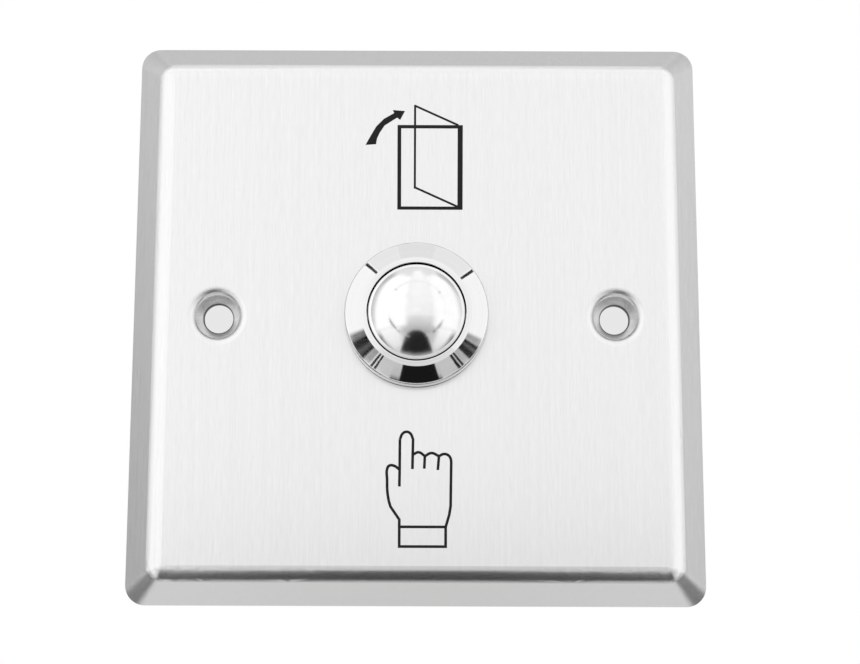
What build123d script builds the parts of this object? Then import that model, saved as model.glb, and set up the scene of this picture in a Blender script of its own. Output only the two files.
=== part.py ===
from build123d import *
import math
import os

os.makedirs("parts", exist_ok=True)

# Door exit button: a pressed stainless wall plate that carries a sprung metal push button.
# The part stands as it is fixed. +Z is up the wall, +X is to the right of the person who
# presses it, and y = 0 is the wall. Every height below is measured out of the wall, along -Y,
# so what lies inside the wall box has a negative height. Sizes are in millimetres.

# Wall plate
plate_size = 86.0
plate_rise = 3.4
sheet = 1.0
bevel_run = 4.35
rim_corner_r = 3.0
face_corner_r = 1.6
fold_r = 4.0
hole_spacing = 60.0
hole_r = 2.2
dimple_width = 1.5
dimple_half_angle = 28.0
dimple_wall = 0.8
dimple_shoulder_r = 1.5

# Button housing, turned from bar
barrel_r = 9.5
thread_depth = 0.6
collar_spare = 0.2
flange_lip = 1.3
skirt_height = 2.35
cone_rise = 1.05
front_ring_width = 0.84
ring_fall = 0.1
lip_length = 6.6
rear_wall = 0.85
base_step = 0.2
groove_depth = 0.25
edge_break = 0.4
bore_edge_break = 0.1
end_chamfer = 0.25

# What holds the housing in the plate
gasket_t = 0.4
gasket_recess = 0.25
gasket_hole_gap = 0.1
washer_t = 0.6
washer_rim_width = 1.5
tooth_reach = 1.5
tooth_root = 0.75
tooth_count = 12
tooth_width = 2.2
tooth_twist = 8.0
nut_sides = 6
nut_wall = 1.5
nut_t = 3.5
nut_chamfer = 0.6

# Push button
cap_gap = 0.21
cap_flange_t = 1.6
cap_flange_step = 0.6
cap_rim = 0.45
cap_rim_fall = 0.06
dome_rise = 2.4
cap_edge = 0.1
travel = 2.5
cap_wall = 1.7
spigot_height = 5.8
seal_groove_width = 1.4
seal_groove_depth = 0.9
seal_groove_ahead = 2.2
plunger_flange_t = 1.2
plunger_flange_margin = 0.6
boss_gap = 2.1
boss_length = 1.6
stem_r = 1.1
stem_tail = 0.8

# Springs
return_wire = 0.6
return_gap = 0.4
return_turns = 5
contact_wire = 0.35
contact_stem_gap = 0.525
contact_turns = 5
wire_sides = 8

# Contacts
contact_gap = 1.2
bridge_gap = 0.7
bridge_width = 4.0
bridge_t = 0.6
bridge_corner_r = 0.6
tip_r = 0.65
tip_t = 0.5
tip_inset = 0.7
clip_width = 1.2
clip_t = 0.5
clip_groove_depth = 0.4
clip_mouth = 1.1

# Switch base
seat_width = 1.0
cavity_step = 2.0
pocket_wall = 1.7
spring_pocket_depth = 4.2
base_front_length = 7.0
tail_step = 1.25
tail_length = 7.3
pocket_spare = 0.4
barrier_t = 1.0
barrier_height = 4.0
ring_t = 0.9
ring_mouth = 3.0
groove_lip = 1.0

# Terminals
strip_t = 0.8
strip_margin = 0.55
strip_bend_r = 0.7
leg_inset = 0.45
strip_barrier_gap = 0.5
head_margin = 0.15
head_overhang = 1.05
screw_length = 5.0
screw_head_t = 1.8
screw_head_round = 0.6
recess_width = 0.8
recess_margin = 1.0
recess_depth = 1.0
clamp_margin = 0.2
clamp_t = 0.7
clamp_chamfer = 0.2

# Clearances
barrel_clearance = 0.15
thread_clearance = 0.05
tooth_clearance = 0.05
running_clearance = 0.05
press_gap = 0.02
stop_gap = 0.05
mould_gap = 0.03
screw_gap = 0.05
stem_gap = 0.1
clip_gap = 0.35
ring_tail_gap = 0.1

# Heights that follow from the sizes
sheet_rear = plate_rise - sheet
collar_end = sheet_rear - collar_spare
flange_rear = plate_rise + gasket_t
cone_foot = flange_rear + skirt_height
ring_face = cone_foot + cone_rise + ring_fall
shoulder = ring_face - lip_length
cap_flange_front = shoulder - stop_gap
cap_flange_rear = cap_flange_front - cap_flange_t
plunger_flange_rear = cap_flange_rear - plunger_flange_t
base_front = plunger_flange_rear - travel - stop_gap
spring_seat = base_front - spring_pocket_depth
cavity_floor = spring_seat - cavity_step
base_shoulder = base_front - base_front_length
base_rear = base_shoulder - tail_length
groove_width = ring_t + mould_gap
barrel_end = base_shoulder - groove_width - groove_lip
boss_rear = plunger_flange_rear - boss_length
fixed_tip_face = cavity_floor + strip_t + tip_t
bridge_rear = fixed_tip_face + contact_gap + tip_t
bridge_front = bridge_rear + bridge_t
clip_front = bridge_rear - stop_gap
clip_rear = clip_front - clip_t
stem_end = clip_rear - stem_tail
terminal_rear = base_rear - strip_t
clamp_rear = terminal_rear - clamp_t

# Radii that follow from the sizes
plate_hole_r = barrel_r + barrel_clearance
flange_r = barrel_r + flange_lip
thread_core_r = barrel_r - thread_depth
rear_bore_r = thread_core_r - rear_wall
guide_r = rear_bore_r - base_step
cap_flange_r = guide_r - running_clearance
cap_r = cap_flange_r - cap_flange_step
bore_r = cap_r + cap_gap
front_ring_r = bore_r + front_ring_width
dome_foot_r = cap_r - cap_rim
spigot_r = cap_r - cap_wall
seal_groove_r = cap_r - seal_groove_depth
plunger_flange_r = guide_r - plunger_flange_margin
base_r = rear_bore_r - running_clearance
tail_r = base_r - tail_step
spring_pocket_r = base_r - pocket_wall
cavity_r = spring_pocket_r - seat_width
return_outer_r = spring_pocket_r - return_gap
return_mean_r = return_outer_r - return_wire / 2
boss_r = return_outer_r - return_wire - boss_gap
contact_mean_r = stem_r + contact_stem_gap + contact_wire / 2
clip_r = stem_r + clip_width
clip_groove_r = stem_r - clip_groove_depth
clip_pocket_r = clip_r + clip_gap
ring_groove_r = rear_bore_r + groove_depth
ring_outer_r = ring_groove_r - running_clearance
ring_inner_r = tail_r + ring_tail_gap

# Places along X that follow from the sizes
bridge_length = 2 * (cavity_r - bridge_gap)
tip_offset = bridge_length / 2 - tip_inset
leg_outer_x = tail_r - leg_inset
terminal_inner_x = barrier_t / 2 + strip_barrier_gap
screw_x = (terminal_inner_x + leg_outer_x) / 2
screw_head_r = (leg_outer_x - terminal_inner_x) / 2 - head_margin
screw_r = screw_head_r - head_overhang
clamp_size = 2 * (screw_head_r - clamp_margin)
strip_width = 2 * (screw_r + strip_margin)

# Section plane: its x is a radius and its y a height out of the wall
section = Plane(origin=(0, 0, 0), x_dir=(1, 0, 0), z_dir=(0, 0, -1))


def level(height):
    """A plane parallel to the wall, facing the room, with its y along +Z."""
    return Plane.XZ.offset(height)


# Wall plate: a square pan with sloping sides, pressed down to the wall at its two fixing holes
slope = math.atan2(plate_rise, bevel_run)
rim_inset = sheet / math.sin(slope)
inner_face_inset = rim_inset + sheet_rear / math.tan(slope)
face_size = plate_size - 2 * bevel_run
inner_rim_size = plate_size - 2 * rim_inset
inner_face_size = plate_size - 2 * inner_face_inset
half_angle = math.radians(dimple_half_angle)
dimple_mouth_r = hole_r + dimple_width
dimple_edge_height = plate_rise - dimple_width / math.tan(half_angle)
dimple_rear_wall = dimple_wall / math.cos(half_angle)
dimple_rear_foot_r = dimple_mouth_r - plate_rise * math.tan(half_angle) + dimple_rear_wall
dimple_rear_mouth_r = dimple_mouth_r - sheet * math.tan(half_angle) + dimple_rear_wall
dimple_outer_r = dimple_mouth_r + dimple_shoulder_r

with BuildPart() as pan_hollow:
    with BuildSketch(level(0)):
        RectangleRounded(inner_rim_size, inner_rim_size, max(rim_corner_r - rim_inset, sheet / 2))
    with BuildSketch(level(sheet_rear)):
        RectangleRounded(inner_face_size, inner_face_size, face_corner_r)
    loft()
    fillet(pan_hollow.faces().sort_by(Axis.Y)[0].edges(), max(fold_r - sheet, sheet / 2))

with BuildPart() as faceplate:
    with BuildSketch(level(0)):
        RectangleRounded(plate_size, plate_size, rim_corner_r)
    with BuildSketch(level(plate_rise)):
        RectangleRounded(face_size, face_size, face_corner_r)
    loft()
    fillet(faceplate.faces().sort_by(Axis.Y)[0].edges(), fold_r)
    add(pan_hollow.part, mode=Mode.SUBTRACT)
    with BuildSketch(level(sheet_rear)):
        Circle(plate_hole_r)
        with Locations((-hole_spacing / 2, 0), (hole_spacing / 2, 0)):
            Circle(dimple_outer_r)
    extrude(amount=sheet, mode=Mode.SUBTRACT)
    for side in (-1, 1):
        centre_x = side * hole_spacing / 2
        with BuildSketch(Plane(origin=(centre_x, 0, 0), x_dir=(1, 0, 0), z_dir=(0, 0, -1))) as dimple:
            with BuildLine():
                Polyline(
                    (hole_r, 0),
                    (dimple_rear_foot_r, 0),
                    (dimple_rear_mouth_r, sheet_rear),
                    (dimple_outer_r, sheet_rear),
                    (dimple_outer_r, plate_rise),
                    (dimple_mouth_r, plate_rise),
                    (hole_r, dimple_edge_height),
                    close=True,
                )
            make_face()
            rear_bend = dimple.vertices().sort_by_distance((dimple_rear_mouth_r, sheet_rear))[0]
            fillet(rear_bend, dimple_shoulder_r - sheet)
            front_bend = dimple.vertices().sort_by_distance((dimple_mouth_r, plate_rise))[0]
            fillet(front_bend, dimple_shoulder_r)
        revolve(axis=Axis((centre_x, 0, 0), (0, 1, 0)))
faceplate.part.label = "faceplate"
export_step(faceplate.part, "parts/faceplate.step")

# Flat ring that seals the flange on the plate, round its hole and a little smaller than the flange
gasket_r = flange_r - gasket_recess
with BuildPart() as flange_gasket:
    with BuildSketch(level(plate_rise)):
        Circle(gasket_r)
        Circle(plate_hole_r + gasket_hole_gap, mode=Mode.SUBTRACT)
    extrude(amount=gasket_t)
flange_gasket.part.label = "flange_gasket"
export_step(flange_gasket.part, "parts/flange_gasket.step")

# Housing: flange, conical front and barrel in one turned piece, bored in three steps. Behind its plain
# collar the barrel is drawn at the core of its thread.
with BuildPart() as button_housing:
    with BuildSketch(section):
        with BuildLine():
            Polyline(
                (bore_r, ring_face),
                (front_ring_r, ring_face - ring_fall),
                (flange_r, cone_foot),
                (flange_r, flange_rear),
                (barrel_r, flange_rear),
                (barrel_r, collar_end),
                (thread_core_r, collar_end),
                (thread_core_r, barrel_end + end_chamfer),
                (thread_core_r - end_chamfer, barrel_end),
                (rear_bore_r, barrel_end),
                (rear_bore_r, barrel_end + groove_lip),
                (ring_groove_r, barrel_end + groove_lip),
                (ring_groove_r, base_shoulder),
                (rear_bore_r, base_shoulder),
                (rear_bore_r, base_front),
                (guide_r, base_front),
                (guide_r, shoulder),
                (bore_r, shoulder),
                close=True,
            )
        make_face()
    revolve(axis=Axis.Y)
    rings = button_housing.edges().filter_by(GeomType.CIRCLE)
    fillet(rings.sort_by_distance((flange_r, -cone_foot, 0))[0], edge_break)
    rings = button_housing.edges().filter_by(GeomType.CIRCLE)
    fillet(rings.sort_by_distance((bore_r, -ring_face, 0))[0], bore_edge_break)
button_housing.part.label = "button_housing"
export_step(button_housing.part, "parts/button_housing.step")

# Lock washer behind the plate: a ring with twisted teeth that bite the plate and the nut
tooth_tip_r = barrel_r + tooth_clearance
twist = math.radians(tooth_twist)
washer_stack = tooth_width * math.sin(twist) + washer_t * math.cos(twist)
washer_rim_inner_r = tooth_tip_r + tooth_reach
washer_middle = sheet_rear - washer_stack / 2
with BuildPart(level(washer_middle)) as tooth_washer:
    with BuildSketch(level(washer_middle - washer_t / 2)):
        Circle(washer_rim_inner_r + washer_rim_width)
        Circle(washer_rim_inner_r, mode=Mode.SUBTRACT)
    extrude(amount=washer_t)
    tooth_length = tooth_reach + tooth_root
    with PolarLocations(tooth_tip_r + tooth_length / 2, tooth_count):
        Box(tooth_length, tooth_width, washer_t, rotation=(tooth_twist, 0, 0))
tooth_washer.part.label = "tooth_washer"
export_step(tooth_washer.part, "parts/tooth_washer.step")

# Nut with chamfered corners
nut_front = sheet_rear - washer_stack
nut_rear = nut_front - nut_t
nut_face_r = barrel_r + nut_wall
nut_corner_r = nut_face_r / math.cos(math.pi / nut_sides)
with BuildPart() as locknut:
    with BuildSketch(level(nut_rear)):
        RegularPolygon(nut_face_r, nut_sides, major_radius=False)
        Circle(thread_core_r + thread_clearance, mode=Mode.SUBTRACT)
    extrude(amount=nut_t)
    with BuildSketch(section):
        with BuildLine():
            Polyline(
                (0, nut_rear),
                (nut_face_r, nut_rear),
                (nut_corner_r, nut_rear + nut_chamfer),
                (nut_corner_r, nut_front - nut_chamfer),
                (nut_face_r, nut_front),
                (0, nut_front),
                close=True,
            )
        make_face()
    revolve(axis=Axis.Y, mode=Mode.INTERSECT)
locknut.part.label = "locknut"
export_step(locknut.part, "parts/locknut.step")

# Button cap: a turned dome with a seal groove, hollow behind, and a flange that stops on the shoulder
dome_sphere_r = (dome_foot_r**2 + dome_rise**2) / (2 * dome_rise)
dome_top = ring_face + dome_rise
dome_half_angle = math.asin(dome_foot_r / dome_sphere_r) / 2
dome_middle = (
    dome_sphere_r * math.sin(dome_half_angle),
    dome_top - dome_sphere_r * (1 - math.cos(dome_half_angle)),
)
seal_groove_rear = cap_flange_front + seal_groove_ahead
seal_groove_front = seal_groove_rear + seal_groove_width
spigot_top = cap_flange_rear + spigot_height
hollow_r = spigot_r + press_gap
with BuildPart() as button_cap:
    with BuildSketch(section):
        with BuildLine():
            ThreePointArc((0, dome_top), dome_middle, (dome_foot_r, ring_face))
            Polyline(
                (dome_foot_r, ring_face),
                (cap_r - cap_edge, ring_face - cap_rim_fall),
                (cap_r, ring_face - cap_rim_fall - cap_edge),
                (cap_r, seal_groove_front),
                (seal_groove_r, seal_groove_front),
                (seal_groove_r, seal_groove_rear),
                (cap_r, seal_groove_rear),
                (cap_r, cap_flange_front),
                (cap_flange_r, cap_flange_front),
                (cap_flange_r, cap_flange_rear),
                (hollow_r, cap_flange_rear),
                (hollow_r, spigot_top + press_gap),
                (0, spigot_top + press_gap),
                (0, dome_top),
            )
        make_face()
    revolve(axis=Axis.Y)
button_cap.part.label = "button_cap"
export_step(button_cap.part, "parts/button_cap.step")

# Round-section ring in the cap's groove, running in the bore
seal_outer_r = bore_r - running_clearance
seal_section_r = (seal_outer_r - seal_groove_r) / 2
seal_middle = (seal_groove_front + seal_groove_rear) / 2
with BuildPart() as cap_seal_ring:
    with BuildSketch(section):
        with Locations((seal_outer_r - seal_section_r, seal_middle)):
            Circle(seal_section_r)
    revolve(axis=Axis.Y)
cap_seal_ring.part.label = "cap_seal_ring"
export_step(cap_seal_ring.part, "parts/cap_seal_ring.step")

# Plunger: a spigot pressed into the cap, a flange for the return spring, and a stem for the bridge
with BuildPart() as plunger:
    with BuildSketch(section):
        with BuildLine():
            Polyline(
                (0, spigot_top),
                (spigot_r, spigot_top),
                (spigot_r, cap_flange_rear),
                (plunger_flange_r, cap_flange_rear),
                (plunger_flange_r, plunger_flange_rear),
                (boss_r, plunger_flange_rear),
                (boss_r, boss_rear),
                (stem_r, boss_rear),
                (stem_r, clip_front),
                (clip_groove_r, clip_front),
                (clip_groove_r, clip_rear),
                (stem_r, clip_rear),
                (stem_r, stem_end),
                (0, stem_end),
                close=True,
            )
        make_face()
    revolve(axis=Axis.Y)
plunger.part.label = "plunger"
export_step(plunger.part, "parts/plunger.step")


def coil(wire, mean_r, turns, low, high):
    """The centre line of a spring between two seats, and the plane of its wire's section."""
    start = low + wire / 2 + press_gap
    length = high - wire / 2 - press_gap - start
    line = Helix(length / turns, length, mean_r, center=(0, -start, 0), direction=(0, -1, 0))
    return line, Plane(line @ 0, z_dir=line % 0)


# Return spring, between the plunger's flange and the step in the base. The round wire of both springs
# is drawn with eight sides.
with BuildPart() as return_spring:
    with BuildLine():
        return_line, return_end = coil(
            return_wire, return_mean_r, return_turns, spring_seat, plunger_flange_rear
        )
    with BuildSketch(return_end):
        RegularPolygon(return_wire / 2, wire_sides)
    sweep(path=return_line, is_frenet=True)
return_spring.part.label = "return_spring"
export_step(return_spring.part, "parts/return_spring.step")

# Contact spring, which holds the bridge on its clip and gives when the tips have met
with BuildPart() as contact_spring:
    with BuildLine():
        contact_line, contact_end = coil(
            contact_wire, contact_mean_r, contact_turns, bridge_front, boss_rear
        )
    with BuildSketch(contact_end):
        RegularPolygon(contact_wire / 2, wire_sides)
    sweep(path=contact_line, is_frenet=True)
contact_spring.part.label = "contact_spring"
export_step(contact_spring.part, "parts/contact_spring.step")

# Contact bridge: a flat brass strip that slides on the stem
with BuildPart() as contact_bridge:
    with BuildSketch(level(bridge_rear)):
        RectangleRounded(bridge_length, bridge_width, bridge_corner_r)
        Circle(stem_r + stem_gap, mode=Mode.SUBTRACT)
    extrude(amount=bridge_t)
contact_bridge.part.label = "contact_bridge"
export_step(contact_bridge.part, "parts/contact_bridge.step")

# Contact tips riveted to the bridge
with BuildPart() as bridge_tips:
    with BuildSketch(level(bridge_rear - tip_t)):
        with Locations((-tip_offset, 0), (tip_offset, 0)):
            Circle(tip_r)
    extrude(amount=tip_t)
bridge_tips.part.label = "bridge_tips"
export_step(bridge_tips.part, "parts/bridge_tips.step")

# Open clip in the stem's groove, behind the bridge
with BuildPart() as bridge_clip:
    with BuildSketch(level(clip_rear)):
        Circle(clip_r)
        Circle(clip_groove_r + press_gap, mode=Mode.SUBTRACT)
        with Locations((0, -clip_r / 2)):
            Rectangle(clip_mouth, clip_r, mode=Mode.SUBTRACT)
    extrude(amount=clip_t)
bridge_clip.part.label = "bridge_clip"
export_step(bridge_clip.part, "parts/bridge_clip.step")

# Terminals: brass strips bent to a C, with a foot under each fixed tip and one under each screw
foot_inner_x = clip_pocket_r + mould_gap
leg_inner_x = leg_outer_x - strip_t
with BuildPart() as terminal_right:
    with BuildSketch(section):
        with BuildLine():
            Polyline(
                (foot_inner_x, cavity_floor),
                (foot_inner_x, cavity_floor + strip_t),
                (leg_outer_x, cavity_floor + strip_t),
                (leg_outer_x, terminal_rear),
                (terminal_inner_x, terminal_rear),
                (terminal_inner_x, base_rear),
                (leg_inner_x, base_rear),
                (leg_inner_x, cavity_floor),
                close=True,
            )
        strip_face = make_face()
        fillet(strip_face.vertices().group_by(Axis.X)[-1], strip_bend_r)
    extrude(amount=strip_width / 2, both=True)
    with BuildSketch(level(terminal_rear)):
        with Locations((screw_x, 0)):
            Circle(screw_r + screw_gap)
    extrude(amount=strip_t, mode=Mode.SUBTRACT)
terminal_right.part.label = "terminal_right"
export_step(terminal_right.part, "parts/terminal_right.step")

with BuildPart() as terminal_left:
    mirror(terminal_right.part, about=Plane.YZ)
terminal_left.part.label = "terminal_left"
export_step(terminal_left.part, "parts/terminal_left.step")

# Fixed tips on the terminals' inner feet
with BuildPart() as fixed_tips:
    with BuildSketch(level(cavity_floor + strip_t)):
        with Locations((-tip_offset, 0), (tip_offset, 0)):
            Circle(tip_r)
    extrude(amount=tip_t)
fixed_tips.part.label = "fixed_tips"
export_step(fixed_tips.part, "parts/fixed_tips.step")

# Switch base: a moulded cup for the spring and contacts, with a tail that carries the terminals
clip_pocket_floor = clip_rear - travel - pocket_spare
stem_pocket_floor = stem_end - travel - pocket_spare
screw_tip = clamp_rear + screw_length
with BuildPart() as switch_base:
    with BuildSketch(section):
        with BuildLine():
            Polyline(
                (0, stem_pocket_floor),
                (stem_r + clip_gap, stem_pocket_floor),
                (stem_r + clip_gap, clip_pocket_floor),
                (clip_pocket_r, clip_pocket_floor),
                (clip_pocket_r, cavity_floor),
                (cavity_r, cavity_floor),
                (cavity_r, spring_seat),
                (spring_pocket_r, spring_seat),
                (spring_pocket_r, base_front),
                (base_r, base_front),
                (base_r, base_shoulder),
                (tail_r, base_shoulder),
                (tail_r, base_rear),
                (0, base_rear),
                close=True,
            )
        make_face()
    revolve(axis=Axis.Y)
    with BuildSketch(level(base_rear)):
        Rectangle(barrier_t, 2 * tail_r)
        Circle(tail_r, mode=Mode.INTERSECT)
    extrude(amount=-barrier_height)
    with BuildSketch(level(base_rear)):
        with Locations((-leg_outer_x + strip_t / 2, 0), (leg_outer_x - strip_t / 2, 0)):
            Rectangle(strip_t + 2 * mould_gap, strip_width + 2 * mould_gap)
    extrude(amount=cavity_floor - base_rear, mode=Mode.SUBTRACT)
    foot_reach = leg_outer_x + mould_gap - foot_inner_x
    foot_middle = foot_inner_x + foot_reach / 2
    with BuildSketch(level(cavity_floor)):
        with Locations((-foot_middle, 0), (foot_middle, 0)):
            Rectangle(foot_reach, strip_width + 2 * mould_gap)
    extrude(amount=strip_t + mould_gap, mode=Mode.SUBTRACT)
    with BuildSketch(level(base_rear)):
        with Locations((-screw_x, 0), (screw_x, 0)):
            Circle(screw_r + screw_gap)
    extrude(amount=screw_tip + pocket_spare - base_rear, mode=Mode.SUBTRACT)
switch_base.part.label = "switch_base"
export_step(switch_base.part, "parts/switch_base.step")

# Snap ring in the barrel's groove, which holds the base in
with BuildPart() as retaining_ring:
    with BuildSketch(level(base_shoulder - ring_t)):
        Circle(ring_outer_r)
        Circle(ring_inner_r, mode=Mode.SUBTRACT)
        with Locations((0, -ring_outer_r)):
            Rectangle(ring_mouth, ring_outer_r, mode=Mode.SUBTRACT)
    extrude(amount=ring_t)
retaining_ring.part.label = "retaining_ring"
export_step(retaining_ring.part, "parts/retaining_ring.step")

# Square washers that clamp the wires
with BuildPart() as clamp_washers:
    with BuildSketch(level(clamp_rear)):
        with Locations((-screw_x, 0), (screw_x, 0)):
            Rectangle(clamp_size, clamp_size)
            Circle(screw_r + stem_gap, mode=Mode.SUBTRACT)
    extrude(amount=clamp_t)
    chamfer(clamp_washers.faces().sort_by(Axis.Y)[-2:].edges().filter_by(GeomType.LINE), clamp_chamfer)
clamp_washers.part.label = "clamp_washers"
export_step(clamp_washers.part, "parts/clamp_washers.step")

# Terminal screws with a cross recess
recess_length = 2 * (screw_head_r - recess_margin)
with BuildPart() as terminal_screws:
    with BuildSketch(level(clamp_rear)):
        with Locations((-screw_x, 0), (screw_x, 0)):
            Circle(screw_r)
    extrude(amount=screw_length)
    with BuildSketch(level(clamp_rear)):
        with Locations((-screw_x, 0), (screw_x, 0)):
            Circle(screw_head_r)
    extrude(amount=-screw_head_t)
    head_edges = terminal_screws.edges().filter_by(GeomType.CIRCLE).group_by(Axis.Y)[-1]
    fillet(head_edges, screw_head_round)
    with BuildSketch(level(clamp_rear - screw_head_t)):
        with Locations((-screw_x, 0), (screw_x, 0)):
            Rectangle(recess_length, recess_width)
            Rectangle(recess_width, recess_length)
    extrude(amount=recess_depth, mode=Mode.SUBTRACT)
terminal_screws.part.label = "terminal_screws"
export_step(terminal_screws.part, "parts/terminal_screws.step")
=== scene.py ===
import bpy
from math import radians, sin, cos
from mathutils import Matrix, Vector


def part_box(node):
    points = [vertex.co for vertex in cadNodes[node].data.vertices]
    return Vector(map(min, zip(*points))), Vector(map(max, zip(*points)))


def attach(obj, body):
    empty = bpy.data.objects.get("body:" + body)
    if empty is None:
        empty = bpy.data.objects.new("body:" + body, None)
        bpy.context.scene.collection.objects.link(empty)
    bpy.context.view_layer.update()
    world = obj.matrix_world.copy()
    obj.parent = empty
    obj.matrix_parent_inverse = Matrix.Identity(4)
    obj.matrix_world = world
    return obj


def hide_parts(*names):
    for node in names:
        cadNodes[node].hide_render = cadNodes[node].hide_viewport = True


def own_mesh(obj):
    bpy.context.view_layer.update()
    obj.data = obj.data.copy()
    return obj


# Door exit button. Metres, wall at y = 0, room along -Y, up is +Z.

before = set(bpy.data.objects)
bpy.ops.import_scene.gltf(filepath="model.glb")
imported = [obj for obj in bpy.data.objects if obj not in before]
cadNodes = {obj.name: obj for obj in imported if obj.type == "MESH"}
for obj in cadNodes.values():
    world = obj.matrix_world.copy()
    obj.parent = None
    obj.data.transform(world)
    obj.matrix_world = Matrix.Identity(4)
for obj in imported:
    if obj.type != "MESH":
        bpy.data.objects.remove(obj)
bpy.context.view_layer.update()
mm = 0.001
print("frame loaded:", len(cadNodes), "nodes")


# What several pieces share

def linearColour(hexText):
    values = [int(hexText[i:i + 2], 16) / 255 for i in (1, 3, 5)]
    return [v / 12.92 if v <= 0.04045 else ((v + 0.055) / 1.055) ** 2.4 for v in values] + [1.0]


def addNode(tree, kind, settings=None, links=None):
    node = tree.nodes.new(kind)
    for name, value in (settings or {}).items():
        if isinstance(name, int) or name in node.inputs:
            node.inputs[name].default_value = value
        else:
            setattr(node, name, value)
    for name, source in (links or {}).items():
        tree.links.new(source, node.inputs[name])
    return node


def newMaterial(name):
    material = bpy.data.materials.new(name)
    material.use_nodes = True
    tree = material.node_tree
    shader = tree.nodes["Principled BSDF"]
    return material, tree, shader


def deselectAll():
    bpy.ops.object.select_all(action="DESELECT")


def makeActive(obj):
    deselectAll()
    obj.select_set(True)
    bpy.context.view_layer.objects.active = obj


def applyPlace(obj):
    makeActive(obj)
    bpy.ops.object.transform_apply(location=True, rotation=True, scale=True)


def applyModifiers(obj):
    makeActive(obj)
    for modifier in list(obj.modifiers):
        bpy.ops.object.modifier_apply(modifier=modifier.name)


def joinPieces(pieces, name):
    deselectAll()
    for piece in pieces:
        piece.select_set(True)
    bpy.context.view_layer.objects.active = pieces[0]
    if len(pieces) > 1:
        bpy.ops.object.join()
    joined = bpy.context.object
    joined.name = name
    joined.data.name = name
    return joined


def dress(piece, material):
    piece.data.materials.clear()
    piece.data.materials.append(material)


deselectAll()


# Camera: stands a little below the plate and looks up at it

cameraPlace = {
    "distance": 0.2786,
    "below": 10.92,
    "roll": 0.19,
    "lens": 76.65,
    "shiftX": 0.0157,
    "shiftY": -0.0134,
}
below = radians(cameraPlace["below"])
bpy.ops.object.camera_add()
camera = bpy.context.object
camera.name = "camera"
camera.data.sensor_width = 36
camera.data.lens = cameraPlace["lens"]
camera.data.shift_x = cameraPlace["shiftX"]
camera.data.shift_y = cameraPlace["shiftY"]
camera.data.clip_start = 0.01
camera.matrix_world = (
    Matrix.Translation(Vector((0, -cos(below), -sin(below))) * cameraPlace["distance"])
    @ Matrix.Rotation(radians(90) + below, 4, "X")
    @ Matrix.Rotation(radians(cameraPlace["roll"]), 4, "Z")
)
bpy.context.scene.camera = camera
bpy.context.scene.view_settings.view_transform = "Standard"
print("camera placed")


# Studio: white surroundings, a pale floor, two soft boxes, and cards that only the metal mirrors

studio = {
    "surroundLight": 0.72,
    "floorLevel": -0.45,
    "floorSize": 60,
    "floorColour": "#F2F2F0",
    "boxPower": 0.35,
    "boxSize": (0.42, 0.9),
    "boxDistance": 0.62,
    "boxAzimuths": (-42.0, 45.0),
    "boxElevation": 20.0,
}
world = bpy.data.worlds.new("white_surroundings")
bpy.context.scene.world = world
world.use_nodes = True
worldTree = world.node_tree
worldTree.nodes.clear()
rayKind = addNode(worldTree, "ShaderNodeLightPath")
seenRays = addNode(worldTree, "ShaderNodeMath", {"operation": "MAXIMUM"},
                   {0: rayKind.outputs["Is Camera Ray"], 1: rayKind.outputs["Is Glossy Ray"]})
clearRays = addNode(worldTree, "ShaderNodeMath", {"operation": "MAXIMUM"},
                    {0: seenRays.outputs[0], 1: rayKind.outputs["Is Transmission Ray"]})
worldLevel = addNode(worldTree, "ShaderNodeMapRange", {"To Min": studio["surroundLight"], "To Max": 1.0},
                     {"Value": clearRays.outputs[0]})
background = addNode(worldTree, "ShaderNodeBackground", {"Color": (1, 1, 1, 1)},
                     {"Strength": worldLevel.outputs[0]})
addNode(worldTree, "ShaderNodeOutputWorld", None, {"Surface": background.outputs[0]})

floorPaint, floorTree, floorShader = newMaterial("floor_paint")
floorShader.inputs["Base Color"].default_value = linearColour(studio["floorColour"])
floorShader.inputs["Roughness"].default_value = 0.8
bpy.ops.mesh.primitive_plane_add(size=studio["floorSize"], location=(0, 0, studio["floorLevel"]))
floor = bpy.context.object
floor.name = "studio_floor"
dress(floor, floorPaint)


def across(azimuth, elevation):
    # azimuth turns from straight out of the wall towards +X, elevation rises towards +Z
    a, e = radians(azimuth), radians(elevation)
    return Vector((sin(a) * cos(e), -cos(a) * cos(e), sin(e)))


def around(clock, polar):
    # clock turns from +X towards +Z as the camera sees it, polar opens from straight out of the wall
    c, p = radians(clock), radians(polar)
    return Vector((sin(p) * cos(c), -cos(p), sin(p) * sin(c)))


for azimuth in studio["boxAzimuths"]:
    place = across(azimuth, studio["boxElevation"]) * studio["boxDistance"]
    bpy.ops.object.light_add(type="AREA", location=place)
    softBox = bpy.context.object
    softBox.data.shape = "RECTANGLE"
    softBox.data.size, softBox.data.size_y = studio["boxSize"]
    softBox.data.energy = studio["boxPower"]
    softBox.rotation_euler = (-place).to_track_quat("-Z", "Y").to_euler()
    softBox.visible_glossy = False


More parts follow.
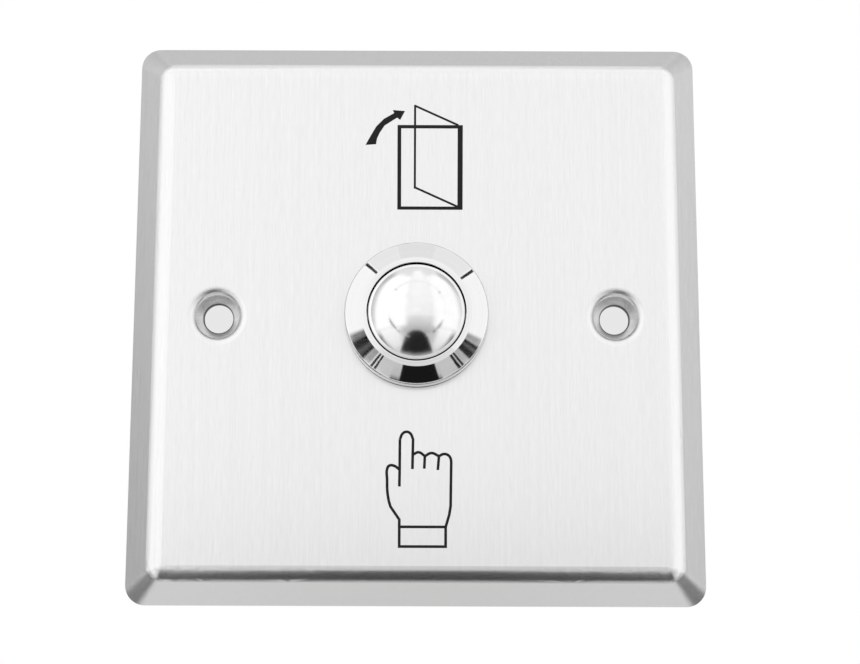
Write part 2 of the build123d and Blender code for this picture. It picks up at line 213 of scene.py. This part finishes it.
def cardPaint(name, levels, softness):
    material = bpy.data.materials.new(name)
    material.use_nodes = True
    tree = material.node_tree
    tree.nodes.clear()
    place = addNode(tree, "ShaderNodeTexCoord")
    split = addNode(tree, "ShaderNodeSeparateXYZ", None, {0: place.outputs["UV"]})
    covers = []
    for axis in (0, 1):
        fromEdge = addNode(tree, "ShaderNodeMath", {"operation": "PINGPONG", 1: 0.5},
                           {0: split.outputs[axis]})
        covers.append(addNode(tree, "ShaderNodeMapRange",
                              {"interpolation_type": "SMOOTHSTEP", "From Max": max(softness[axis], 0.001)},
                              {"Value": fromEdge.outputs[0]}))
    cover = addNode(tree, "ShaderNodeMath", {"operation": "MULTIPLY"},
                    {0: covers[0].outputs[0], 1: covers[1].outputs[0]})
    rise = addNode(tree, "ShaderNodeMapRange", {"To Min": levels[0], "To Max": levels[1]},
                   {"Value": split.outputs[1]})
    glow = addNode(tree, "ShaderNodeEmission", {"Color": (1, 1, 1, 1)}, {"Strength": rise.outputs[0]})
    clear = addNode(tree, "ShaderNodeBsdfTransparent")
    mix = addNode(tree, "ShaderNodeMixShader", None,
                  {0: cover.outputs[0], 1: clear.outputs[0], 2: glow.outputs[0]})
    addNode(tree, "ShaderNodeOutputMaterial", None, {"Surface": mix.outputs[0]})
    return material


def studioCard(name, directionAt, distance, levels, softness, steps=8):
    # directionAt(u, w) gives the direction from the button to the card's point u across and w up, from 0 to 1.
    # Cards that overlap stand at different distances
    bpy.ops.mesh.primitive_grid_add(x_subdivisions=steps, y_subdivisions=steps, size=2)
    card = bpy.context.object
    card.name = name
    for vertex in card.data.vertices:
        vertex.co = directionAt((vertex.co.x + 1) / 2, (vertex.co.y + 1) / 2) * distance
    dress(card, cardPaint(name + "_paint", levels, softness))
    card.visible_camera = False
    card.visible_diffuse = False
    card.visible_shadow = False
    card.visible_transmission = False
    card.visible_volume_scatter = False


def between(low, high, share):
    return low + (high - low) * share


# White and grey cards, each with its span of azimuth (left, right) and elevation (low, high), its brightness
# at the foot and the head, and the share of its width and height over which its edges fade
wideCards = {
    "left_box": {"azimuth": (-82, -5), "elevation": (-22, 72), "levels": (1.34, 1.34),
                 "soft": (0.21, 0.10), "distance": 0.50},
    "right_box": {"azimuth": (17.5, 82), "elevation": (-22, 72), "levels": (1.30, 1.30),
                  "soft": (0.23, 0.10), "distance": 0.50},
    "left_foot": {"azimuth": (-82, -20), "elevation": (-66, -14), "levels": (0.80, 1.32),
                  "soft": (0.25, 0.12), "distance": 0.515},
    "right_foot": {"azimuth": (30, 82), "elevation": (-66, -14), "levels": (0.80, 1.30),
                   "soft": (0.25, 0.12), "distance": 0.515},
    "left_side": {"azimuth": (-112, -67), "elevation": (-20, 50), "levels": (0.24, 0.87),
                  "soft": (0.3, 0.1), "distance": 0.485},
    "right_side": {"azimuth": (70, 112), "elevation": (-35, 50), "levels": (0.43, 0.89),
                   "soft": (0.3, 0.1), "distance": 0.485},
    "middle_gap": {"azimuth": (-24, 36), "elevation": (-0.5, 80), "levels": (1.14, 1.26),
                   "soft": (0.3, 0.0), "distance": 0.42},
    "middle_foot": {"azimuth": (-24, 36), "elevation": (-28, -0.5), "levels": (0.50, 0.98),
                    "soft": (0.3, 0.0), "distance": 0.42},
}
for name, card in wideCards.items():
    (left, right), (low, high) = card["azimuth"], card["elevation"]
    studioCard(name, lambda u, w: across(between(left, right, u), between(low, high, w)),
               card["distance"], card["levels"], card["soft"])

# Grey cards for the plate's upper and lower sides and its corner folds, by clock and polar angle
roundCards = {
    "top_side": {"clock": (140, 40), "polar": (86, 112), "levels": (0.68, 0.68),
                 "soft": (0.1, 0.2), "distance": 0.50},
    "bottom_side": {"clock": (235, 305), "polar": (94, 57), "levels": (0.86, 0.86),
                    "soft": (0.1, 0.1), "distance": 0.47},
    "corner_upper_left": {"clock": (156, 106), "polar": (77, 97), "levels": (0.60, 0.60),
                          "soft": (0.3, 0.12), "distance": 0.2},
    "corner_upper_right": {"clock": (74, 24), "polar": (77, 97), "levels": (0.62, 0.62),
                           "soft": (0.3, 0.12), "distance": 0.2},
    "corner_lower_left": {"clock": (195, 245), "polar": (90, 64.5), "levels": (0.17, 0.17),
                          "soft": (0.3, 0.1), "distance": 0.2},
    "corner_lower_right": {"clock": (295, 345), "polar": (90, 64.5), "levels": (0.17, 0.17),
                           "soft": (0.3, 0.1), "distance": 0.2},
}
for name, card in roundCards.items():
    (left, right), (low, high) = card["clock"], card["polar"]
    studioCard(name, lambda u, w: around(between(left, right, u), between(low, high, w)),
               card["distance"], card["levels"], card["soft"])

# The studio's dark front opening below the camera, with a rounded head
darkOpening = {
    "polar": (67, 21.5),
    "footClock": (243.5, 296.8),
    "headClock": (240, 300),
    "headDrop": 13,
    "levels": (0.01, 0.012),
    "soft": (0.04, 0.12),
    "distance": 0.33,
}


def openingDirection(u, w):
    (footLeft, footRight), (headLeft, headRight) = darkOpening["footClock"], darkOpening["headClock"]
    clock = between(between(footLeft, footRight, u), between(headLeft, headRight, u), w)
    head = darkOpening["polar"][1] + darkOpening["headDrop"] * abs(2 * u - 1) ** 3
    return around(clock, between(darkOpening["polar"][0], head, w))


studioCard("dark_opening", openingDirection, darkOpening["distance"], darkOpening["levels"],
           darkOpening["soft"])

# Narrow cards along the line that the housing's cone mirrors
coneRing = {
    "slope": 22.4,
    "radius": 9.5,
    "height": 6.8,
    "distance": 0.30,
    "spacing": 0.0005,      # each card stands this much nearer than the one before it
    "paleHalf": 1.1,        # half a card's width in degrees
    "darkHalf": 1.6,
    "darkLevel": 0.2,
    "softSides": 0.1,
}
# The clock angles at which the cone shows each card, its brightness, and how softly its ends fade
coneCards = {
    "right_pale": {"clock": (335, 395), "level": 1.22, "soft": 0.06},
    "upper_right": {"clock": (38.4, 74), "level": 1.06, "soft": 0.06},
    "upper_middle": {"clock": (72, 108), "level": 1.0, "soft": 0.06},
    "upper_left": {"clock": (106, 134.5), "level": 1.07, "soft": 0.06},
    "left_pale": {"clock": (137, 200), "level": 1.24, "soft": 0.06},
    "left_shade": {"clock": (197, 210), "level": 0.22, "soft": 0.4},
    "left_dark": {"clock": (203.5, 225), "level": 0.012, "soft": 0.2},
    "left_stripe": {"clock": (212, 220.5), "level": 0.10, "soft": 0.45},
    "left_grey": {"clock": (221.5, 230.2), "level": 0.40, "soft": 0.3},
    "foot_left": {"clock": (235.0, 256.9), "level": 0.73, "soft": 0.06},
    "foot_right": {"clock": (288.1, 306.2), "level": 0.72, "soft": 0.06},
    "right_shade": {"clock": (328, 339), "level": 0.42, "soft": 0.4},
    "right_dark": {"clock": (315.5, 332), "level": 0.012, "soft": 0.2},
    "right_half": {"clock": (322.5, 328), "level": 0.12, "soft": 0.45},
    "right_grey": {"clock": (311.2, 318.5), "level": 0.54, "soft": 0.3},
    "seam_upper_right": {"clock": (35.3, 38.3), "level": 0.01, "soft": 0.06},
    "seam_upper_left": {"clock": (134.6, 137.6), "level": 0.01, "soft": 0.06},
    "seam_lower_left_a": {"clock": (229.8, 232.3), "level": 0.01, "soft": 0.06},
    "seam_lower_left_b": {"clock": (233.2, 235.4), "level": 0.01, "soft": 0.06},
    "seam_lower_right_a": {"clock": (305.8, 308.6), "level": 0.01, "soft": 0.06},
    "seam_lower_right_b": {"clock": (309.5, 311.8), "level": 0.01, "soft": 0.06},
}


def coneDirection(clock, lift):
    c, s = radians(clock), radians(coneRing["slope"])
    outward = Vector((cos(c), 0, sin(c)))
    normal = (outward * sin(s) + Vector((0, -cos(s), 0))).normalized()
    place = (outward * coneRing["radius"] + Vector((0, -coneRing["height"], 0))) * mm
    seen = (place - camera.matrix_world.translation).normalized()
    mirrored = seen - 2 * seen.dot(normal) * normal
    turn = Matrix.Rotation(radians(lift), 3, Vector((0, -1, 0)).cross(mirrored).normalized())
    return turn @ mirrored


for order, (name, card) in enumerate(coneCards.items()):
    first, last = card["clock"]
    half = coneRing["darkHalf"] if card["level"] < coneRing["darkLevel"] else coneRing["paleHalf"]
    studioCard("cone_" + name, lambda u, w: coneDirection(between(first, last, u), between(-half, half, w)),
               coneRing["distance"] - order * coneRing["spacing"], (card["level"], card["level"]),
               (card["soft"], coneRing["softSides"]), steps=12)

# Discs behind the two fixing holes, glowing with painted shade: pale grey to the camera, a painted dark band
# that the dimples' walls mirror, and clear from behind
holeShade = {
    "spacing": 60.0,
    "radius": 5.0,
    "behind": 0.4,
    "seen": 0.80,
    "pale": 1.1,
    "dark": 0.22,
    "bandMiddle": -0.75,
    "bandInner": 0.6,
    "bandOuter": 1.3,
}
shadeMaterial = bpy.data.materials.new("shade_behind_holes")
shadeMaterial.use_nodes = True
shadeTree = shadeMaterial.node_tree
shadeTree.nodes.clear()
shadeRay = addNode(shadeTree, "ShaderNodeLightPath")
shadeSide = addNode(shadeTree, "ShaderNodeNewGeometry")
shadePlace = addNode(shadeTree, "ShaderNodeTexCoord")
shadeHeight = addNode(shadeTree, "ShaderNodeSeparateXYZ", None, {0: shadePlace.outputs["Object"]})
fromMiddle = addNode(shadeTree, "ShaderNodeMath",
                     {"operation": "SUBTRACT", 1: holeShade["bandMiddle"] * mm},
                     {0: shadeHeight.outputs["Y"]})
offMiddle = addNode(shadeTree, "ShaderNodeMath", {"operation": "ABSOLUTE"}, {0: fromMiddle.outputs[0]})
offBand = addNode(shadeTree, "ShaderNodeMapRange",
                  {"interpolation_type": "SMOOTHSTEP", "From Min": holeShade["bandInner"] * mm,
                   "From Max": holeShade["bandOuter"] * mm}, {"Value": offMiddle.outputs[0]})
mirroredLevel = addNode(shadeTree, "ShaderNodeMapRange",
                        {"To Min": holeShade["dark"], "To Max": holeShade["pale"]},
                        {"Value": offBand.outputs[0]})
shadeLevel = addNode(shadeTree, "ShaderNodeMapRange", {"To Max": holeShade["seen"]},
                     {"Value": shadeRay.outputs["Is Camera Ray"], "To Min": mirroredLevel.outputs[0]})
shadeGlow = addNode(shadeTree, "ShaderNodeEmission", {"Color": (1, 1, 1, 1)},
                    {"Strength": shadeLevel.outputs[0]})
shadeClear = addNode(shadeTree, "ShaderNodeBsdfTransparent")
shadeMix = addNode(shadeTree, "ShaderNodeMixShader", None,
                   {0: shadeSide.outputs["Backfacing"], 1: shadeGlow.outputs[0], 2: shadeClear.outputs[0]})
addNode(shadeTree, "ShaderNodeOutputMaterial", None, {"Surface": shadeMix.outputs[0]})
for side in (-1, 1):
    centre = (side * holeShade["spacing"] * mm / 2, holeShade["behind"] * mm, 0)
    bpy.ops.mesh.primitive_circle_add(vertices=48, radius=holeShade["radius"] * mm, fill_type="NGON",
                                      location=centre, rotation=(radians(90), 0, 0))
    patch = bpy.context.object
    patch.name = "shade_left" if side < 0 else "shade_right"
    dress(patch, shadeMaterial)
    patch.visible_diffuse = False
    patch.visible_shadow = False
    patch.visible_transmission = False
print("studio set")


# Materials

noiseSpan = (0.35, 0.65)    # the part of a noise pattern's range that most of it lies in


def brushedStainless():
    # Stainless steel sheet, brushed with an abrasive belt from top to bottom: pale, with fine upright
    # streaks, duller where the dimples are drawn, and with painted shade as a dark ring round the punched
    # holes
    brushing = {
        "colours": ("#DCDCDC", "#E2E2E2"),
        "roughness": (0.235, 0.255),
        "fine": (0.2, 0.2, 3.0),        # a scratch in mm; real ones are half as wide, too fine to show
        "long": (0.45, 0.45, 30.0),
        "longShare": 0.3,
        "relief": 0.005,
        "anisotropy": 0.6,
        "holeMiddle": 30.0,
        "dimple": {"inner": 3.4, "outer": 5.2, "roughness": 0.33},
        "paintedEdgeShade": {"inner": 2.24, "outer": 2.46, "colour": "#343434"},
    }
    material, tree, shader = newMaterial("brushed_stainless_sheet")
    place = addNode(tree, "ShaderNodeTexCoord")
    layers = []
    for size in (brushing["fine"], brushing["long"]):
        spread = addNode(tree, "ShaderNodeMapping",
                         {"Scale": tuple(1 / (length * mm) for length in size)},
                         {"Vector": place.outputs["Object"]})
        layers.append(addNode(tree, "ShaderNodeTexNoise", {"Scale": 1.0, "Detail": 3.0, "Roughness": 0.6},
                              {"Vector": spread.outputs[0]}))
    streaks = addNode(tree, "ShaderNodeMix", {0: brushing["longShare"]},
                      {2: layers[0].outputs[0], 3: layers[1].outputs[0]})
    level = addNode(tree, "ShaderNodeMapRange",
                    {"From Min": noiseSpan[0], "From Max": noiseSpan[1]}, {"Value": streaks.outputs[0]})
    shade = addNode(tree, "ShaderNodeMapRange",
                    {"To Min": brushing["roughness"][0], "To Max": brushing["roughness"][1]},
                    {"Value": level.outputs[0]})
    mirrored = addNode(tree, "ShaderNodeVectorMath", {"operation": "ABSOLUTE"},
                       {0: place.outputs["Object"]})
    centred = addNode(tree, "ShaderNodeVectorMath",
                      {"operation": "SUBTRACT", 1: (brushing["holeMiddle"] * mm, 0, 0)},
                      {0: mirrored.outputs["Vector"]})
    flattened = addNode(tree, "ShaderNodeVectorMath", {"operation": "MULTIPLY", 1: (1, 0, 1)},
                        {0: centred.outputs["Vector"]})
    fromHole = addNode(tree, "ShaderNodeVectorMath", {"operation": "LENGTH"},
                       {0: flattened.outputs["Vector"]})
    dimple, paintedEdgeShade = brushing["dimple"], brushing["paintedEdgeShade"]
    dulled = addNode(tree, "ShaderNodeMapRange",
                     {"interpolation_type": "SMOOTHSTEP", "From Min": dimple["inner"] * mm,
                      "From Max": dimple["outer"] * mm, "To Min": dimple["roughness"]},
                     {"Value": fromHole.outputs["Value"], "To Max": shade.outputs[0]})
    tint = addNode(tree, "ShaderNodeMix",
                   {"data_type": "RGBA", 6: linearColour(brushing["colours"][0]),
                    7: linearColour(brushing["colours"][1])}, {0: level.outputs[0]})
    # Painted shade: a dark #343434 ring round each punched hole stands in for the shade at the holes' edges
    clearOfEdge = addNode(tree, "ShaderNodeMapRange",
                          {"interpolation_type": "SMOOTHSTEP", "From Min": paintedEdgeShade["inner"] * mm,
                           "From Max": paintedEdgeShade["outer"] * mm}, {"Value": fromHole.outputs["Value"]})
    metal = addNode(tree, "ShaderNodeMix", {"data_type": "RGBA", 6: linearColour(paintedEdgeShade["colour"])},
                    {0: clearOfEdge.outputs[0], 7: tint.outputs[2]})
    relief = addNode(tree, "ShaderNodeBump", {"Strength": 1.0, "Distance": brushing["relief"] * mm},
                     {"Height": streaks.outputs[0]})
    sideways = addNode(tree, "ShaderNodeCombineXYZ", {"X": 1.0})
    shader.inputs["Metallic"].default_value = 1.0
    shader.inputs["Anisotropic"].default_value = brushing["anisotropy"]
    tree.links.new(metal.outputs[2], shader.inputs["Base Color"])
    tree.links.new(dulled.outputs[0], shader.inputs["Roughness"])
    tree.links.new(relief.outputs[0], shader.inputs["Normal"])
    tree.links.new(sideways.outputs[0], shader.inputs["Tangent"])
    return material


def surfaceFinish(name, colours, roughness, grain, relief, metallic=0.0, turned=False):
    # grain is the pattern's size in mm along x, y and z, or across the rings and along the axis of a turned
    # piece, and relief is its depth in mm
    material, tree, shader = newMaterial(name)
    place = addNode(tree, "ShaderNodeTexCoord").outputs["Object"]
    if turned:
        flat = addNode(tree, "ShaderNodeVectorMath", {"operation": "MULTIPLY", 1: (1, 0, 1)}, {0: place})
        radius = addNode(tree, "ShaderNodeVectorMath", {"operation": "LENGTH"}, {0: flat.outputs["Vector"]})
        split = addNode(tree, "ShaderNodeSeparateXYZ", None, {0: place})
        place = addNode(tree, "ShaderNodeCombineXYZ", None,
                        {"X": radius.outputs["Value"], "Y": split.outputs["Y"]}).outputs[0]
    spread = addNode(tree, "ShaderNodeMapping", {"Scale": tuple(1 / (size * mm) for size in grain)},
                     {"Vector": place})
    pattern = addNode(tree, "ShaderNodeTexNoise", {"Scale": 1.0, "Detail": 4.0, "Roughness": 0.55},
                      {"Vector": spread.outputs[0]})
    level = addNode(tree, "ShaderNodeMapRange", {"From Min": noiseSpan[0], "From Max": noiseSpan[1]},
                    {"Value": pattern.outputs[0]})
    shade = addNode(tree, "ShaderNodeMapRange", {"To Min": roughness[0], "To Max": roughness[1]},
                    {"Value": level.outputs[0]})
    tint = addNode(tree, "ShaderNodeMix",
                   {"data_type": "RGBA", 6: linearColour(colours[0]), 7: linearColour(colours[1])},
                   {0: level.outputs[0]})
    bump = addNode(tree, "ShaderNodeBump", {"Strength": 1.0, "Distance": relief * mm},
                   {"Height": pattern.outputs[0]})
    shader.inputs["Metallic"].default_value = metallic
    tree.links.new(tint.outputs[2], shader.inputs["Base Color"])
    tree.links.new(shade.outputs[0], shader.inputs["Roughness"])
    tree.links.new(bump.outputs[0], shader.inputs["Normal"])
    return material


sheetSteel = brushedStainless()
# Stainless bar, turned and buffed: mirrors sharply, with faint rings left by the tool
turnedSteel = surfaceFinish("turned_stainless", ("#DCDCDC", "#E2E2E2"), (0.04, 0.055),
                            (0.12, 0.12, 1), 0.0002, metallic=1.0, turned=True)
# Stainless dome, polished with a soft wheel: bright, with soft-edged reflections and a slight haze
polishedSteel = surfaceFinish("polished_stainless", ("#E0E0E0", "#E5E5E5"), (0.115, 0.145),
                              (1.5, 1.5, 1.5), 0.001, metallic=1.0)
# Hardened carbon steel, stamped or drawn: darker grey, oiled, with a cloudy sheen
springSteel = surfaceFinish("hardened_spring_steel", ("#77787C", "#96938E"), (0.24, 0.40),
                            (1.2, 1.2, 1.2), 0.004, metallic=1.0)
# Brass nut under bright nickel plate: slightly yellow silver, with fine milling marks
nickelBrass = surfaceFinish("nickel_plated_brass", ("#C9C5BA", "#D8D4CA"), (0.15, 0.26),
                            (0.25, 2.5, 0.25), 0.002, metallic=1.0)
# Brass strip, rolled: warm yellow with rolling lines along its length
brassStrip = surfaceFinish("rolled_brass_strip", ("#BC954C", "#CFAE66"), (0.20, 0.34),
                           (3.0, 0.2, 0.2), 0.002, metallic=1.0)
# Silver alloy rivet, stamped: pale and dull, with a fine pebble grain
silverTip = surfaceFinish("silver_alloy", ("#D6D4CE", "#ECEAE5"), (0.26, 0.40),
                          (0.25, 0.25, 0.25), 0.004, metallic=1.0)
# Steel under bright zinc plate: bluish with yellowish clouds where the coating is thicker
zincSteel = surfaceFinish("bright_zinc_plate", ("#B4BAC2", "#CBC8BC"), (0.20, 0.34),
                          (1.0, 1.0, 1.0), 0.003, metallic=1.0)
# Glass-filled nylon, moulded: black, half dull, with short pale flecks where fibres reach the skin
mouldedNylon = surfaceFinish("glass_filled_nylon", ("#161617", "#2A2A2B"), (0.38, 0.55),
                             (0.5, 0.18, 0.18), 0.012)
# Acetal, moulded in its natural colour: waxy white, with faint flow clouds
naturalAcetal = surfaceFinish("natural_acetal", ("#E3E0D6", "#EEECE4"), (0.30, 0.42),
                              (1.5, 3.0, 1.5), 0.003)
acetalShader = naturalAcetal.node_tree.nodes["Principled BSDF"]
acetalShader.inputs["Subsurface Weight"].default_value = 0.15
acetalShader.inputs["Subsurface Scale"].default_value = 0.0008
# Nitrile rubber, pressed in a mould: matt black with a bloom in patches
nitrileRubber = surfaceFinish("nitrile_rubber", ("#101010", "#1D1D1D"), (0.62, 0.80),
                              (0.4, 0.4, 0.4), 0.01)
# Screen-printed epoxy ink: dense black, nearly matt, with the mesh's slight unevenness
screenInk = surfaceFinish("screen_printed_ink", ("#080808", "#101010"), (0.52, 0.68),
                          (0.15, 0.15, 0.15), 0.003)
screenInk.node_tree.nodes["Principled BSDF"].inputs["Specular IOR Level"].default_value = 0.25

finishes = {
    "faceplate": sheetSteel,
    "button_housing": turnedSteel,
    "button_cap": polishedSteel,
    "flange_gasket": nitrileRubber,
    "cap_seal_ring": nitrileRubber,
    "tooth_washer": springSteel,
    "retaining_ring": springSteel,
    "bridge_clip": springSteel,
    "return_spring": springSteel,
    "contact_spring": springSteel,
    "locknut": nickelBrass,
    "plunger": naturalAcetal,
    "switch_base": mouldedNylon,
    "contact_bridge": brassStrip,
    "terminal_left": brassStrip,
    "terminal_right": brassStrip,
    "bridge_tips": silverTip,
    "fixed_tips": silverTip,
    "clamp_washers": zincSteel,
    "terminal_screws": zincSteel,
}
for nodeName, finish in finishes.items():
    for materialSlot in cadNodes[nodeName].material_slots:
        materialSlot.material = finish
print("materials set")


# Printed signs on the plate's face

signPrint = {
    "inkHeight": 0.03,
    "frameCorners": ((-3.01, 29.88), (7.01, 29.88), (6.95, 16.5), (-2.98, 16.5)),
    "frameBars": {"left": 0.58, "top": 0.53, "right": 0.79, "bottom": 0.50},
    "leafLine": 0.33,
    "handLine": 0.41,
}
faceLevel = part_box("faceplate")[0][1]


def inkShape(lines, width=0.0, closed=False, handles="VECTOR"):
    # lines holds points in mm, right and up from the plate's centre: outlines to fill, or strokes of a width
    bpy.ops.curve.primitive_bezier_curve_add()
    piece = bpy.context.object
    curve = piece.data
    curve.splines.clear()
    for line in lines:
        spline = curve.splines.new("BEZIER")
        spline.bezier_points.add(len(line) - 1)
        for point, (right, up) in zip(spline.bezier_points, line):
            point.co = (right * mm, up * mm, 0)
            point.handle_left_type = point.handle_right_type = handles
        spline.use_cyclic_u = closed
    curve.resolution_u = 8 if handles == "AUTO" else 1
    if width:
        curve.bevel_depth = width * mm / 2
        curve.bevel_resolution = 2
        curve.use_fill_caps = True
    else:
        curve.dimensions = "2D"
        curve.fill_mode = "BOTH"
        curve.extrude = signPrint["inkHeight"] * mm / 2
    bpy.ops.object.convert(target="MESH")
    if width:
        flat = signPrint["inkHeight"] / width
        bpy.ops.transform.resize(value=(1, 1, flat), center_override=(0, 0, 0))
    piece = bpy.context.object
    piece.rotation_euler = (radians(90), 0, 0)
    piece.location = (0, faceLevel - signPrint["inkHeight"] * mm / 3, 0)
    applyPlace(piece)
    return piece


def doorSign():
    upLeft, upRight, lowRight, lowLeft = signPrint["frameCorners"]
    bars = signPrint["frameBars"]
    opening = [(upLeft[0] + bars["left"], upLeft[1] - bars["top"]),
               (upRight[0] - bars["right"], upRight[1] - bars["top"]),
               (lowRight[0] - bars["right"], lowRight[1] + bars["bottom"]),
               (lowLeft[0] + bars["left"], lowLeft[1] + bars["bottom"])]
    frameShape = inkShape([signPrint["frameCorners"], opening], closed=True)
    leaf = inkShape([[(-0.32, 33.1), (-0.32, 19.8)],
                     [(-0.32, 32.96), (6.34, 29.86)],
                     [(-0.32, 20.0), (6.16, 17.0)]], signPrint["leafLine"])
    arrow = inkShape([[(-7.9, 26.69), (-7.02, 28.33), (-6.26, 29.65), (-5.11, 30.85), (-3.53, 31.78),
                       (-3.75, 32.26), (-1.87, 32.11), (-2.61, 30.69), (-3.08, 31.05), (-4.99, 29.79),
                       (-5.75, 28.6), (-6.15, 27.67), (-6.28, 26.82)]], closed=True)
    return joinPieces([frameShape, leaf, arrow], "door_sign")


def handSign():
    width = signPrint["handLine"]
    straight = inkShape([
        [(-2.4, -18.6), (-2.42, -23.1), (-2.45, -25.63)],
        [(-0.45, -18.53), (-0.53, -23.05)],
        [(1.31, -21.0), (1.22, -22.98)],
        [(3.4, -21.0), (3.23, -23.18)],
        [(5.21, -21.9), (5.12, -28.46), (4.92, -29.77), (4.39, -31.57)],
        [(-2.44, -31.57), (4.55, -31.57)],
        [(-2.44, -30.43), (-2.43, -34.6)],
        [(4.39, -31.4), (4.38, -34.6)],
        [(-2.63, -34.45), (4.58, -34.45)],
        [(-4.03, -27.67), (-3.76, -28.59), (-2.44, -30.5)],
    ], width)
    rounded = inkShape([
        [(-2.4, -18.6), (-1.95, -17.72), (-1.4, -17.5), (-0.88, -17.72), (-0.45, -18.6)],
        [(-0.45, -20.9), (0.39, -20.55), (1.31, -21.12)],
        [(1.31, -21.12), (2.27, -20.66), (3.4, -21.12)],
        [(3.4, -21.12), (4.09, -20.8), (4.7, -20.93), (5.1, -21.4), (5.21, -21.99)],
        [(-2.45, -23.11), (-3.3, -22.55), (-3.98, -22.56), (-4.28, -23.1), (-4.27, -24.6), (-4.22, -26.35),
         (-4.03, -27.67)],
    ], width, handles="AUTO")
    return joinPieces([straight, rounded], "hand_sign")


for sign in (doorSign(), handSign()):
    dress(sign, screenInk)
    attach(sign, "housing")
print("signs printed")


# Thread on the barrel behind the plate: a ridge wound round the core that the solid has

barrelThread = {
    "pitch": 1.0,
    "core": 8.9,
    "sunk": 0.05,           # how deep the ridge's foot lies in the core
    "crest": 9.5,
    "crestWidth": 0.18,
    "rootWidth": 0.04,
    "start": -2.1,
    "end": 13.5,
    "stepsPerTurn": 64,
}


def windThread():
    pitch, crest = barrelThread["pitch"], barrelThread["crest"]
    root = barrelThread["core"] - barrelThread["sunk"]
    halfWidths = {root: (pitch - barrelThread["rootWidth"]) / 2, crest: barrelThread["crestWidth"] / 2}
    bpy.ops.mesh.primitive_plane_add(size=1)
    ridge = bpy.context.object
    for vertex in ridge.data.vertices:
        radius = crest if vertex.co.x > 0 else root
        side = 1 if vertex.co.y > 0 else -1
        along = barrelThread["start"] + pitch / 2 + side * halfWidths[radius]
        vertex.co = (radius * mm, along * mm, 0)
    ridge.data.update()
    makeActive(ridge)
    winding = ridge.modifiers.new("winding", "SCREW")
    winding.axis = "Y"
    winding.angle = radians(360)
    winding.screw_offset = pitch * mm
    winding.iterations = int((barrelThread["end"] - barrelThread["start"]) / pitch) - 1
    winding.steps = winding.render_steps = barrelThread["stepsPerTurn"]
    winding.use_merge_vertices = False
    applyModifiers(ridge)
    return ridge


def tidyNormals(piece):
    makeActive(piece)
    bpy.ops.object.mode_set(mode="EDIT")
    bpy.ops.mesh.select_all(action="SELECT")
    bpy.ops.mesh.remove_doubles(threshold=0.000001)
    bpy.ops.mesh.normals_make_consistent(inside=False)
    bpy.ops.object.mode_set(mode="OBJECT")


thread = windThread()
tidyNormals(thread)
makeActive(thread)
bpy.ops.object.shade_smooth_by_angle(angle=radians(30))
thread.name = thread.data.name = "barrel_thread"
dress(thread, turnedSteel)
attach(thread, "housing")
print("thread wound")


# Springs, wound from round wire with closed ends; keep is the share of the length left when the button is in

returnSpring = {
    "node": "return_spring",
    "body": "housing",
    "wire": 0.6,
    "mean": 5.6,
    "turns": 5,
    "closedTurns": 0.75,
    "stepsPerTurn": 24,
    "fixed": 8.9,
    "keep": 4.25 / 6.75,
}
contactSpring = {
    "node": "contact_spring",
    "body": "button",
    "wire": 0.35,
    "mean": 1.8,
    "turns": 5,
    "closedTurns": 0.75,
    "stepsPerTurn": 24,
    "fixed": 3.75,
    "keep": 2.19 / 3.54,
}


def windSpring(spring):
    lowest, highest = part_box(spring["node"])
    wire, mean, closed = spring["wire"] * mm, spring["mean"] * mm, spring["closedTurns"]
    front, back = lowest[1] + wire / 2, highest[1] - wire / 2
    allTurns = spring["turns"] + 1
    rise = (back - front - 2 * closed * wire) / (allTurns - 2 * closed)
    bpy.ops.curve.primitive_bezier_curve_add()
    piece = bpy.context.object
    curve = piece.data
    curve.splines.clear()
    line = curve.splines.new("POLY")
    line.points.add(allTurns * spring["stepsPerTurn"])
    for step, point in enumerate(line.points):
        turn = step / spring["stepsPerTurn"]
        closedFront = min(turn, closed)
        closedBack = max(turn - (allTurns - closed), 0)
        free = turn - closedFront - closedBack
        along = front + (closedFront + closedBack) * wire + free * rise
        angle = radians(360) * turn
        point.co = (mean * cos(angle), along, mean * sin(angle), 1)
    curve.bevel_depth = wire / 2
    curve.bevel_resolution = 3
    curve.use_fill_caps = True
    bpy.ops.object.convert(target="MESH")
    piece = bpy.context.object
    applyPlace(piece)
    tidyNormals(piece)
    bpy.ops.object.shade_smooth_by_angle(angle=radians(50))
    piece.name = piece.data.name = spring["node"] + "_wound"
    dress(piece, springSteel)
    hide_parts(spring["node"])
    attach(piece, spring["body"])
    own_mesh(piece)


windSpring(returnSpring)
windSpring(contactSpring)
print("springs wound")
